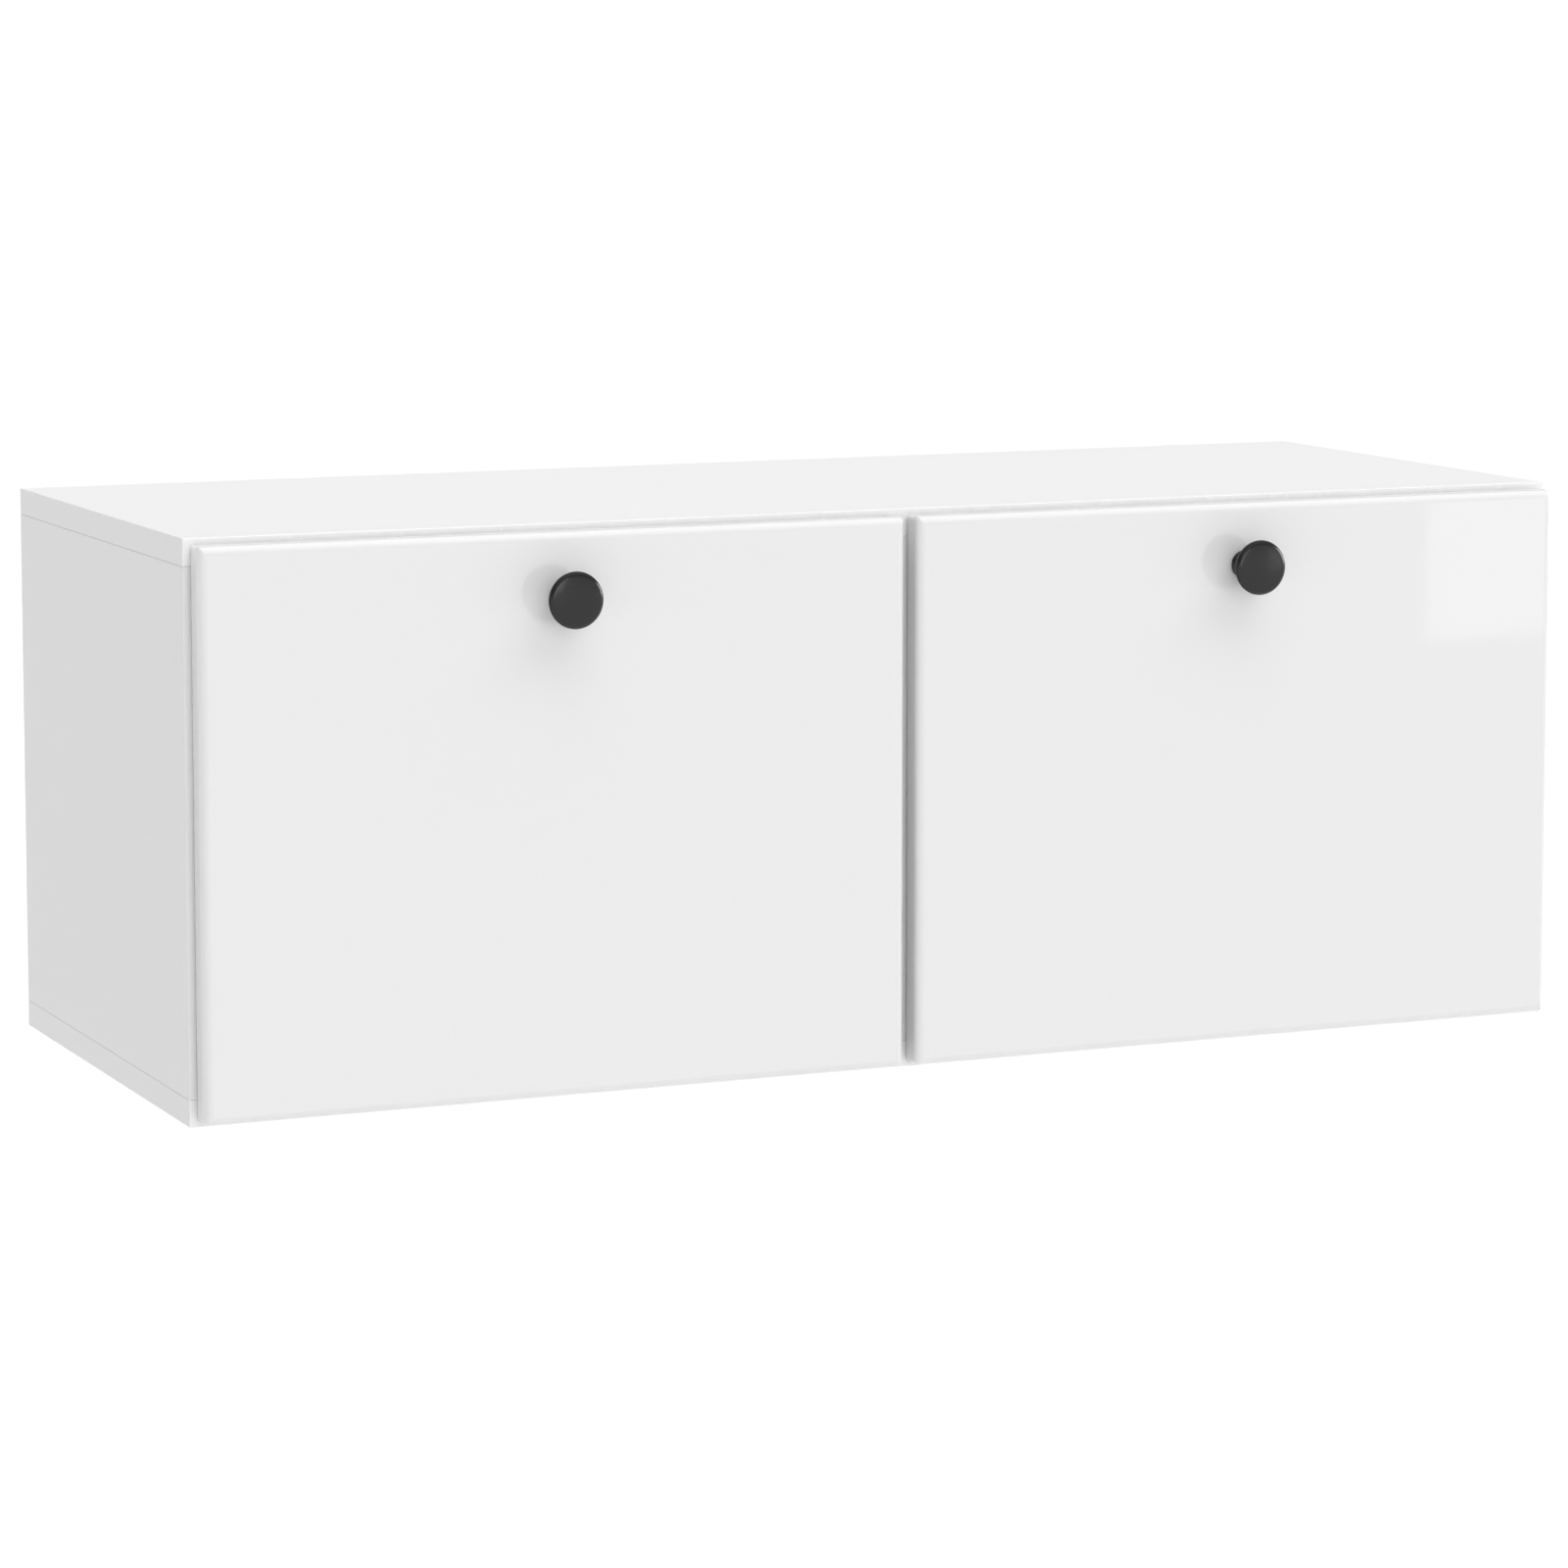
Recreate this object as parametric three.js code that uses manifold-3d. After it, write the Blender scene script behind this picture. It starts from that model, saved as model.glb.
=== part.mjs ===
// Hanging wall cabinet: two compartments side by side, each closed by a door that drops open
// about its lower edge and is held level by a sliding stay.
//
// Millimetres, +Z up, +X to the right as seen from the front, and the doors face -Y.
// The origin is on the wall plane, at the middle of the centre partition's rear edge.

import * as THREE from 'three';
import { mergeVertices } from 'three/addons/utils/BufferGeometryUtils.js';
import Module from 'manifold-3d';

// ---------------------------------------------------------------- driving dimensions

// Carcass
const width = 1000;
const height = 380;
const depth = 380;               // wall plane to the carcass's front edges
const board = 18;
const easing = 1;                // rounding of the boards' long edges
const backThickness = 3;
const backInset = 16;            // wall plane to the back panels
const grooveDepth = 7;
const grooveClearance = 0.3;     // on each face of a back panel

// Doors
const doorBoard = 18;
const doorGap = 2;               // carcass front to a door's inner face
const sideReveal = 4.5;
const topReveal = 4;
const bottomReveal = 3.5;
const centreGap = 9;             // between the two doors
const doorFrontRound = 6;
const doorBackRound = 2;
const doorCornerRound = 3;

// Knobs
const knobDrop = 42;             // door's top edge to the knob's middle
const knobRadius = 18.8;
const knobFootRadius = 9.5;
const knobNeckRadius = 6.5;
const knobHeight = 28.5;
const knobRimHeight = 24;
const knobScrewRadius = 2;
const knobScrewGrip = 11;        // thread inside the knob
const knobScrewHeadRadius = 4;
const knobScrewHeadHeight = 2.4;

// Door hinges
const hingeInset = 80;           // door's edge to the hinge's middle
const cupRadius = 17.5;          // bore in the door
const cupDepth = 13.5;
const cupTab = 2.5;              // door's lower edge to the bore
const cupWall = 0.8;
const cupPlateWidth = 58;
const cupPlateHeight = 20;
const cupPlateThickness = 1;
const cupPlateRound = 6;
const pinDepth = 9;              // door's inner face to the hinge axis
const pinRise = 7;               // door's lower edge to the hinge axis
const pinRadius = 1.5;
const pinLength = 19;
const earWall = 2;               // cup's ear beyond the pin's end
const eyeWall = 1.3;             // round the pin
const eyeWidth = 6;
const neckTurn = 3;              // outside rounding where the neck becomes the arm
const neckThickness = 3;
const armThickness = 4;
const armWidth = 14;
const armLength = 50;            // carcass front to the arm's rear end
const armSetback = 6;            // carcass front to the wide part of the arm
const hingePlateHeight = 4;
const hingePlateWidth = 18;
const hingePlateSetback = 12;    // carcass front to the plate
const hingePlateOverhang = 2;    // plate behind the arm
const hingeWingWidth = 42;
const hingeWingHeight = 2.5;
const hingeWingLength = 14;
const hingeWingRound = 6;

// Stays
const stayRadius = 150;          // hinge axis to both of the stay's pivots
const stayOpening = 24;          // degrees between those pivots, door closed
const doorOpening = 90;          // degrees that a door opens
const bracketReach = 22;         // door's inner face to the rod's pivot
const stayBaseThickness = 3;
const stayBaseWidth = 34;
const stayBaseLength = 66;
const stayBaseRound = 8;
const axleRadius = 4;
const axleLength = 6;
const housingLength = 26;
const housingWidth = 18;
const housingRound = 6;
const housingWall = 2.2;         // beyond the rod
const rodRadius = 3;
const rodStopRadius = 4.6;
const rodStopLength = 4;
const rodEyeRadius = 6;
const rodEyeWidth = 6;
const rodPivotRadius = 2.5;
const bracketThickness = 2.5;
const bracketFootWidth = 26;
const bracketFootHeight = 44;
const bracketFootLip = 6;        // foot beyond the ear
const bracketRootHeight = 30;    // ear where it leaves the foot

// Hangers
const hangerThickness = 18;
const hangerHeight = 56;
const hangerLength = 48;
const hangerRound = 5;
const hangerDrop = 6;            // top panel to the hanger's top
const hookWidth = 8;
const hookHeight = 10;
const hookTravel = 4;            // up and down from the middle
const hookNoseLength = 9;
const hookNoseThickness = 3;
const hookRear = -1.5;           // Y of the hook's rear face, just clear of the wall
const heightScrewRadius = 4;
const heightScrewLength = 12;
const heightScrewHead = 1;       // screw proud of the hanger
const screwSlotLength = 6;
const screwSlotWidth = 1;
const screwSlotDepth = 2;
const slotMargin = 2;            // screw's end to the hook's slot
const wallPlateThickness = 2;
const wallPlateWidth = 36;
const wallPlateHeight = 46;
const wallPlateStandOff = 5;     // wall to the raised lip
const wallPlateSeat = 3;         // bend below the hook's nose
const notchMargin = 3;           // round the hook in the back panel

// Catches and bumpers
const catchWidth = 46;
const catchHeight = 13;
const catchLength = 15;
const magnetWidth = 30;
const magnetHeight = 7;
const magnetLength = 5;
const magnetProud = 0.5;         // magnet in front of its housing
const strikeThickness = 3;
const strikeHeight = 11;
const strikeWidth = 38;
const bumperRadius = 4;
const bumperThickness = 1.7;
const bumperInset = 20;          // door's edge to a bumper's middle

// Clearances
const runningClearance = 0.08;   // pin or rod to its hole, radially, beyond the facets
const gap = 0.3;                 // between faces that do not touch

// ---------------------------------------------------------------- derived places

const halfWidth = width / 2;
const carcassFront = -depth;
const carcassBottom = -height / 2;
const carcassTop = height / 2;
const innerSide = halfWidth - board;
const innerBottom = carcassBottom + board;
const innerTop = carcassTop - board;
const halfPartition = board / 2;
const backFront = -(backInset + backThickness);
const backTongue = grooveDepth - 1;

const doorInnerFace = carcassFront - doorGap;
const doorFace = doorInnerFace - doorBoard;
const doorBottom = carcassBottom + bottomReveal;
const doorTop = carcassTop - topReveal;
const doorWidth = halfWidth - sideReveal - centreGap / 2;
const doorMiddle = centreGap / 2 + doorWidth / 2;
const knobUp = doorTop - knobDrop;

const hingeY = doorInnerFace - pinDepth;
const hingeZ = doorBottom + pinRise;
const cupZ = doorBottom + cupTab + cupRadius;
const armUnder = innerBottom + hingePlateHeight;
const eyeRadius = pinRadius + eyeWall;

// Both pivots of a stay lie at stayRadius from the hinge axis. The rod's line then always
// passes through the swivel housing, and both turn by exactly half of the door's angle.
const radians = Math.PI / 180;
const bracketAngle = Math.asin((pinDepth + bracketReach) / stayRadius);
const baseAngle = bracketAngle + stayOpening * radians;
const rodPivotY = hingeY + stayRadius * Math.sin(bracketAngle);
const rodPivotZ = hingeZ + stayRadius * Math.cos(bracketAngle);
const swivelY = hingeY + stayRadius * Math.sin(baseAngle);
const swivelZ = hingeZ + stayRadius * Math.cos(baseAngle);
const rodSlope = Math.atan2(swivelZ - rodPivotZ, swivelY - rodPivotY);
const openReach = 2 * stayRadius * Math.sin(((stayOpening + doorOpening) * radians) / 2);
const rodLength = openReach + housingLength / 2 + gap + rodStopLength;

// Depths of a stay's layers, counted from the side panel towards the cabinet's middle
const housingFrom = stayBaseThickness + gap;
const rodLayer = stayBaseThickness + axleLength + gap + rodStopRadius;
const housingTo = rodLayer + rodRadius + housingWall;
const earFrom = housingTo + 2 * gap;

const hangerTop = innerTop - hangerDrop;
const hangerZ = hangerTop - hangerHeight / 2;
const hangerRear = backFront - gap;
const hangerFront = hangerRear - hangerLength;
const hookLipY = -(wallPlateStandOff + wallPlateThickness);

// ---------------------------------------------------------------- solids

const wasm = await Module();
wasm.setup();

function toSolid(geometry) {
  const bare = geometry.clone();
  bare.deleteAttribute('normal');
  bare.deleteAttribute('uv');
  const merged = mergeVertices(bare, 1e-4);
  const mesh = new wasm.Mesh({
    numProp: 3,
    vertProperties: new Float32Array(merged.attributes.position.array),
    triVerts: new Uint32Array(merged.index.array),
  });
  return new wasm.Manifold(mesh);
}

function toGeometry(solid) {
  const mesh = solid.getMesh();
  const geometry = new THREE.BufferGeometry();
  geometry.setAttribute('position', new THREE.BufferAttribute(mesh.vertProperties, 3));
  geometry.setIndex(new THREE.BufferAttribute(mesh.triVerts, 1));
  geometry.computeVertexNormals();
  return geometry;
}

function join(first, ...others) {
  return toGeometry(others.reduce((sum, other) => sum.add(toSolid(other)), toSolid(first)));
}

function cut(first, ...others) {
  return toGeometry(others.reduce((rest, other) => rest.subtract(toSolid(other)), toSolid(first)));
}

function common(first, second) {
  return toGeometry(toSolid(first).intersect(toSolid(second)));
}

// A box between two values on each axis, given in either order.
function block([x0, x1], [y0, y1], [z0, z1]) {
  const box = new THREE.BoxGeometry(Math.abs(x1 - x0), Math.abs(y1 - y0), Math.abs(z1 - z0));
  return box.translate((x0 + x1) / 2, (y0 + y1) / 2, (z0 + z1) / 2);
}

// A cylinder along X, through (y, z).
function cylinderX(radius, [x0, x1], y, z, segments = 32) {
  const cylinder = new THREE.CylinderGeometry(radius, radius, Math.abs(x1 - x0), segments);
  return cylinder.rotateZ(Math.PI / 2).translate((x0 + x1) / 2, y, z);
}

// A cylinder along Y, through (x, z).
function cylinderY(radius, x, [y0, y1], z, segments = 32) {
  const cylinder = new THREE.CylinderGeometry(radius, radius, Math.abs(y1 - y0), segments);
  return cylinder.translate(x, (y0 + y1) / 2, z);
}

// A hole's radius, so that a shaft of this radius turns in it in spite of both having facets.
function holeFor(radius, segments = 32) {
  return (radius + runningClearance) / Math.cos(Math.PI / segments);
}

function roundedRectangle(w, h, radius) {
  const shape = new THREE.Shape();
  const x = w / 2;
  const y = h / 2;
  shape.moveTo(-x + radius, -y);
  shape.lineTo(x - radius, -y);
  shape.absarc(x - radius, -y + radius, radius, -Math.PI / 2, 0, false);
  shape.lineTo(x, y - radius);
  shape.absarc(x - radius, y - radius, radius, 0, Math.PI / 2, false);
  shape.lineTo(-x + radius, y);
  shape.absarc(-x + radius, y - radius, radius, Math.PI / 2, Math.PI, false);
  shape.lineTo(-x, -y + radius);
  shape.absarc(-x + radius, -y + radius, radius, Math.PI, Math.PI * 1.5, false);
  return shape;
}

// An outline drawn in Y and Z, extruded along X.
function extrudeX(shape, [x0, x1], curveSegments = 4) {
  const geometry = new THREE.ExtrudeGeometry(shape, {
    depth: Math.abs(x1 - x0),
    bevelEnabled: false,
    curveSegments,
  });
  const yzx = new THREE.Matrix4().makeBasis(
    new THREE.Vector3(0, 1, 0),
    new THREE.Vector3(0, 0, 1),
    new THREE.Vector3(1, 0, 0),
  );
  return geometry.applyMatrix4(yzx).translate(Math.min(x0, x1), 0, 0);
}

// An outline drawn in X and Z, extruded along Y.
function extrudeY(shape, [y0, y1], curveSegments = 4) {
  const geometry = new THREE.ExtrudeGeometry(shape, {
    depth: Math.abs(y1 - y0),
    bevelEnabled: false,
    curveSegments,
  });
  return geometry.rotateX(Math.PI / 2).translate(0, Math.max(y0, y1), 0);
}

// A closed body through rings of equal point count, with flat ends.
function ringBody(rings) {
  const count = rings[0].length;
  const positions = rings.flat().flatMap((point) => [point.x, point.y, point.z]);
  const index = [];
  for (let ring = 0; ring < rings.length - 1; ring++) {
    for (let i = 0; i < count; i++) {
      const a = ring * count + i;
      const b = ring * count + ((i + 1) % count);
      index.push(a, b, b + count, a, b + count, a + count);
    }
  }
  const last = (rings.length - 1) * count;
  for (let i = 1; i < count - 1; i++) {
    index.push(0, i + 1, i);
    index.push(last, last + i, last + i + 1);
  }
  const geometry = new THREE.BufferGeometry();
  geometry.setAttribute('position', new THREE.Float32BufferAttribute(positions, 3));
  geometry.setIndex(index);
  geometry.computeVertexNormals();
  return geometry;
}

// ---------------------------------------------------------------- materials

const finish = (color, roughness, metalness = 0) =>
  new THREE.MeshStandardMaterial({ color, roughness, metalness });

const satinWhite = finish(0xf1f1f0, 0.45);
const glossWhite = finish(0xf3f3f2, 0.12);
const whiteHardboard = finish(0xe9e8e4, 0.6);
const blackSatin = finish(0x26272a, 0.4);
const nickel = finish(0xb9bcc0, 0.3, 0.9);
const zinc = finish(0xa7adb3, 0.4, 0.9);
const whitePlastic = finish(0xe6e6e3, 0.5);
const greyPlastic = finish(0x9da0a3, 0.5);
const magnetGrey = finish(0x3c3d40, 0.6, 0.3);
const clearRubber = finish(0xd9dcdd, 0.3);

// ---------------------------------------------------------------- scene graph

const cabinet = new THREE.Group();

function add(name, geometry, material, parent = cabinet) {
  const mesh = new THREE.Mesh(geometry, material);
  mesh.name = name;
  parent.add(mesh);
  return mesh;
}

// Two values counted from a side panel's inner face towards the middle, as X.
const fromSide = (side, near, far) => [side * (innerSide - near), side * (innerSide - far)];
const about = (middle, size) => [middle - size / 2, middle + size / 2];

// The slot that a back panel stands in, over the given spans of X and Z.
function backGroove(xSpan, zSpan) {
  return block(xSpan, [-backInset + grooveClearance, backFront - grooveClearance], zSpan);
}

// ---------------------------------------------------------------- carcass

function lyingPanel(faceZ, innerFace) {
  const middleZ = (faceZ + innerFace) / 2;
  const outline = roundedRectangle(depth, board, easing);
  const panel = extrudeX(outline, [-halfWidth, halfWidth]).translate(0, -depth / 2, middleZ);
  const grooveEnd = innerFace + Math.sign(faceZ - innerFace) * grooveDepth;
  const grooveReach = innerSide + grooveDepth;
  return cut(panel, backGroove([-grooveReach, grooveReach], [innerFace, grooveEnd]));
}

function sidePanel(side) {
  const outer = side * halfWidth;
  const inner = side * innerSide;
  const panel = block([outer, inner], [carcassFront, 0], [innerBottom, innerTop]);
  const groove = backGroove([inner, inner + side * grooveDepth], [innerBottom, innerTop]);
  return cut(panel, groove);
}

function partition() {
  const panel = block([-halfPartition, halfPartition], [carcassFront, 0], [innerBottom, innerTop]);
  const grooves = [-1, 1].map((side) =>
    backGroove([side * halfPartition, side * (halfPartition - grooveDepth)], [innerBottom, innerTop]));
  return cut(panel, ...grooves);
}

// A back panel, notched at its upper outer corner where the hanger's hook passes.
function backPanel(side) {
  const xSpan = [side * (halfPartition - backTongue), side * (innerSide + backTongue)];
  const zSpan = [innerBottom - backTongue, innerTop + backTongue];
  const panel = block(xSpan, [-backInset, backFront], zSpan);
  const notchHalf = hookHeight / 2 + hookTravel + notchMargin;
  const hookMiddle = hangerThickness / 2;
  const notch = block(
    fromSide(side, -board, hookMiddle + hookWidth / 2 + notchMargin),
    [0, backFront - gap],
    [hangerZ - notchHalf, hangerZ + notchHalf],
  );
  return cut(panel, notch);
}

add('top_panel', lyingPanel(carcassTop, innerTop), satinWhite);
add('bottom_panel', lyingPanel(carcassBottom, innerBottom), satinWhite);
add('centre_partition', partition(), satinWhite);

// ---------------------------------------------------------------- doors

// A rounded rectangle's points in X and Z, counter-clockwise as seen from the front.
function doorRing(inset, y) {
  const steps = 3;
  const w = doorWidth / 2 - inset;
  const h = (doorTop - doorBottom) / 2 - inset;
  const radius = Math.max(doorCornerRound - inset, 0.4);
  const corners = [[1, -1], [1, 1], [-1, 1], [-1, -1]];
  return corners.flatMap(([sx, sz], quarter) =>
    Array.from({ length: steps + 1 }, (_, step) => {
      const angle = (quarter - 1 + step / steps) * (Math.PI / 2);
      const x = sx * (w - radius) + radius * Math.cos(angle);
      const z = sz * (h - radius) + radius * Math.sin(angle);
      return new THREE.Vector3(x, y, z + (doorTop + doorBottom) / 2);
    }));
}

// The door's leaf, with its edges rounded more at the front than at the back.
function doorLeaf() {
  const rings = [];
  const steps = 4;
  for (let step = 0; step <= steps; step++) {
    const angle = (step / steps) * (Math.PI / 2);
    const inset = doorBackRound * (1 - Math.sin(angle));
    rings.push(doorRing(inset, doorInnerFace - doorBackRound * (1 - Math.cos(angle))));
  }
  for (let step = 0; step <= steps; step++) {
    const angle = (step / steps) * (Math.PI / 2);
    const inset = doorFrontRound * (1 - Math.cos(angle));
    rings.push(doorRing(inset, doorFace + doorFrontRound * (1 - Math.sin(angle))));
  }
  return ringBody(rings);
}

const hingePlaces = [-1, 1].map((end) => end * (doorWidth / 2 - hingeInset));

function door() {
  const cupBores = hingePlaces.map((x) =>
    cylinderY(cupRadius, x, [doorInnerFace + 1, doorInnerFace - cupDepth], cupZ));
  const screwHole = cylinderY(
    knobScrewRadius + gap, 0, [doorInnerFace + 1, doorFace - 1], knobUp, 24);
  return cut(doorLeaf(), ...cupBores, screwHole);
}

// ---------------------------------------------------------------- knobs

// A mushroom knob standing on +Y = 0 and reaching towards -Y, with a blind hole for its screw.
function knob() {
  const hole = knobScrewRadius + gap / 2;
  const profile = [
    [0, knobScrewGrip + 1],
    [hole, knobScrewGrip + 1],
    [hole, 0],
    [knobFootRadius, 0],
    [knobFootRadius, 1.2],
  ];
  const flare = new THREE.CubicBezierCurve(
    new THREE.Vector2(knobFootRadius, 1.2),
    new THREE.Vector2(knobNeckRadius - 1, 5),
    new THREE.Vector2(knobNeckRadius - 1, knobRimHeight - 8),
    new THREE.Vector2(knobRadius - 1, knobRimHeight - 1.6),
  );
  const crown = new THREE.CubicBezierCurve(
    new THREE.Vector2(knobRadius - 0.3, knobRimHeight + 1),
    new THREE.Vector2(knobRadius - 2.5, knobHeight - 0.8),
    new THREE.Vector2(knobRadius / 2, knobHeight),
    new THREE.Vector2(0, knobHeight),
  );
  const points = [
    ...profile.map(([r, y]) => new THREE.Vector2(r, y)),
    ...flare.getPoints(6).slice(1),
    new THREE.Vector2(knobRadius, knobRimHeight - 0.6),
    new THREE.Vector2(knobRadius, knobRimHeight + 0.2),
    ...crown.getPoints(6),
  ];
  return new THREE.LatheGeometry(points, 32).rotateX(Math.PI);
}

function knobScrew() {
  const shank = cylinderY(knobScrewRadius, 0, [0, -(doorBoard + knobScrewGrip)], 0, 24);
  const head = cylinderY(knobScrewHeadRadius, 0, [knobScrewHeadHeight, 0], 0, 24);
  return join(shank, head);
}

// ---------------------------------------------------------------- door hinges

// The cup, let into the door, with ears for the pin, at the hinge's own X = 0.
function hingeCup() {
  const floor = doorInnerFace - cupDepth + gap;
  const outerRadius = cupRadius - gap;
  const shell = cylinderY(outerRadius, 0, [doorInnerFace, floor], cupZ);
  const plate = extrudeY(
    roundedRectangle(cupPlateWidth, cupPlateHeight, cupPlateRound),
    [doorInnerFace + cupPlateThickness, doorInnerFace],
  ).translate(0, 0, cupZ);
  const hollow = cylinderY(
    outerRadius - cupWall, 0, [doorInnerFace + 2 * cupPlateThickness, floor + cupWall], cupZ);
  const ears = [-1, 1].map((end) => common(
    block(
      [end * (eyeWidth / 2 + gap), end * (pinLength / 2 + earWall)],
      [hingeY + eyeRadius, floor],
      [doorBottom, hingeZ + eyeRadius],
    ),
    shell,
  ));
  const pinHole = cylinderX(
    holeFor(pinRadius, 24), about(0, pinLength + gap), hingeY, hingeZ, 24);
  return cut(join(cut(join(shell, plate), hollow), ...ears), pinHole);
}

// The arm: an eye round the pin, a neck that rises out of the cup, and a bar over the plate.
function hingeArm() {
  const top = armUnder + armThickness;
  const outline = new THREE.Shape();
  const front = hingeY - neckThickness / 2;
  const rear = hingeY + neckThickness / 2;
  outline.moveTo(front, hingeZ);
  outline.lineTo(rear, hingeZ);
  outline.lineTo(rear, armUnder);
  outline.lineTo(carcassFront + armLength, armUnder);
  outline.lineTo(carcassFront + armLength, top);
  outline.lineTo(front + neckTurn, top);
  outline.absarc(front + neckTurn, top - neckTurn, neckTurn, Math.PI / 2, Math.PI, false);
  const neck = extrudeX(outline, about(0, eyeWidth));
  const eye = cylinderX(eyeRadius, about(0, eyeWidth), hingeY, hingeZ, 24);
  const bar = block(
    about(0, armWidth),
    [carcassFront + armSetback, carcassFront + armLength],
    [armUnder, top],
  );
  const pinHole = cylinderX(holeFor(pinRadius, 24), about(0, 2 * eyeWidth), hingeY, hingeZ, 24);
  return cut(join(neck, eye, bar), pinHole);
}

// The mounting plate on the bottom panel: a spine under the arm and flat oval wings.
function hingePlate() {
  const front = carcassFront + hingePlateSetback;
  const rear = carcassFront + armLength + hingePlateOverhang;
  const spine = block(about(0, hingePlateWidth), [front, rear], [innerBottom, armUnder]);
  const shape = roundedRectangle(hingeWingWidth, hingeWingLength, hingeWingRound);
  const wings = new THREE.ExtrudeGeometry(shape, {
    depth: hingeWingHeight,
    bevelEnabled: false,
    curveSegments: 5,
  });
  return join(spine, wings.translate(0, (front + rear) / 2, innerBottom));
}

function hingePin() {
  return cylinderX(pinRadius, about(0, pinLength), hingeY, hingeZ, 24);
}

// ---------------------------------------------------------------- stays

// The base on the side panel, with the axle that the swivel housing turns on.
function stayBase(side) {
  const outline = roundedRectangle(stayBaseWidth, stayBaseLength, stayBaseRound);
  const plate = extrudeX(outline, fromSide(side, 0, stayBaseThickness))
    .translate(0, swivelY, swivelZ);
  const axle = cylinderX(
    axleRadius, fromSide(side, stayBaseThickness / 2, stayBaseThickness + axleLength),
    swivelY, swivelZ);
  return join(plate, axle);
}

// The swivel housing about its own pivot, with the rod's direction along +Y.
function swivelHousing(side) {
  const outline = roundedRectangle(housingLength, housingWidth, housingRound);
  const body = extrudeX(outline, fromSide(side, housingFrom, housingTo));
  const bore = cylinderX(
    holeFor(axleRadius),
    fromSide(side, 0, stayBaseThickness + axleLength + gap), 0, 0);
  const passage = cylinderY(
    holeFor(rodRadius), fromSide(side, rodLayer, rodLayer)[0], [-housingLength, housingLength], 0);
  return cut(body, bore, passage);
}

// The rod about its pivot on the door, running along +Y, with an eye and a stop.
function stayRod(side) {
  const [x] = fromSide(side, rodLayer, rodLayer);
  const bar = cylinderY(rodRadius, x, [(rodPivotRadius + rodEyeRadius) / 2, rodLength], 0);
  const eye = cylinderX(rodEyeRadius, about(x, rodEyeWidth), 0, 0);
  const stop = cylinderY(rodStopRadius, x, [rodLength - rodStopLength, rodLength], 0);
  const hole = cylinderX(holeFor(rodPivotRadius), about(x, 3 * rodEyeWidth), 0, 0);
  return cut(join(bar, eye, stop), hole);
}

// The bracket on the door: a foot, an ear and a riveted pivot that carries the rod's eye.
function stayBracket(side) {
  const footTo = earFrom + bracketThickness + bracketFootLip;
  const foot = block(
    fromSide(side, footTo - bracketFootWidth, footTo),
    [doorInnerFace, doorInnerFace + bracketThickness],
    about(rodPivotZ, bracketFootHeight),
  );
  const outline = new THREE.Shape();
  const root = bracketRootHeight / 2;
  const tip = rodEyeRadius;
  outline.moveTo(doorInnerFace + bracketThickness / 2, rodPivotZ - root);
  outline.lineTo(rodPivotY, rodPivotZ - tip);
  outline.absarc(rodPivotY, rodPivotZ, tip, -Math.PI / 2, Math.PI / 2, false);
  outline.lineTo(doorInnerFace + bracketThickness / 2, rodPivotZ + root);
  const ear = extrudeX(outline, fromSide(side, earFrom, earFrom + bracketThickness), 8);
  const pivot = cylinderX(
    rodPivotRadius,
    fromSide(side, rodLayer - rodEyeWidth / 2 - gap, earFrom + bracketThickness / 2),
    rodPivotY, rodPivotZ);
  return join(foot, ear, pivot);
}

// ---------------------------------------------------------------- hangers

const hookMiddle = hangerThickness / 2;

function hangerHousing(side) {
  const body = extrudeX(
    roundedRectangle(hangerLength, hangerHeight, hangerRound), fromSide(side, 0, hangerThickness))
    .translate(0, (hangerFront + hangerRear) / 2, hangerZ);
  const slotFront = hangerFront + heightScrewLength + slotMargin;
  const slot = block(
    fromSide(side, hookMiddle - hookWidth / 2 - gap, hookMiddle + hookWidth / 2 + gap),
    [slotFront, hangerRear + 1],
    about(hangerZ, hookHeight + 2 * hookTravel + 2 * gap),
  );
  const screwHole = cylinderY(
    holeFor(heightScrewRadius), fromSide(side, hookMiddle, hookMiddle)[0],
    [hangerFront - 1, slotFront + 1], hangerZ);
  return cut(body, slot, screwHole);
}

// The hook: a bar that leaves the housing through the back panel and turns down behind the lip.
function hangerHook(side) {
  const front = hangerFront + heightScrewLength + slotMargin + gap;
  const xSpan = fromSide(side, hookMiddle - hookWidth / 2, hookMiddle + hookWidth / 2);
  const bar = block(xSpan, [front, hookRear], about(hangerZ, hookHeight));
  const nose = block(
    xSpan,
    [hookRear - hookNoseThickness, hookRear],
    [hangerZ - hookHeight / 2 - hookNoseLength, hangerZ],
  );
  return join(bar, nose);
}

function heightScrew(side) {
  const [x] = fromSide(side, hookMiddle, hookMiddle);
  const head = hangerFront - heightScrewHead;
  const shank = cylinderY(heightScrewRadius, x, [head, hangerFront + heightScrewLength], hangerZ);
  const sizes = [[screwSlotWidth, screwSlotLength], [screwSlotLength, screwSlotWidth]];
  const slots = sizes.map(([w, h]) =>
    block(about(x, w), [head - 1, head + screwSlotDepth], about(hangerZ, h)));
  return cut(shank, ...slots);
}

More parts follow.
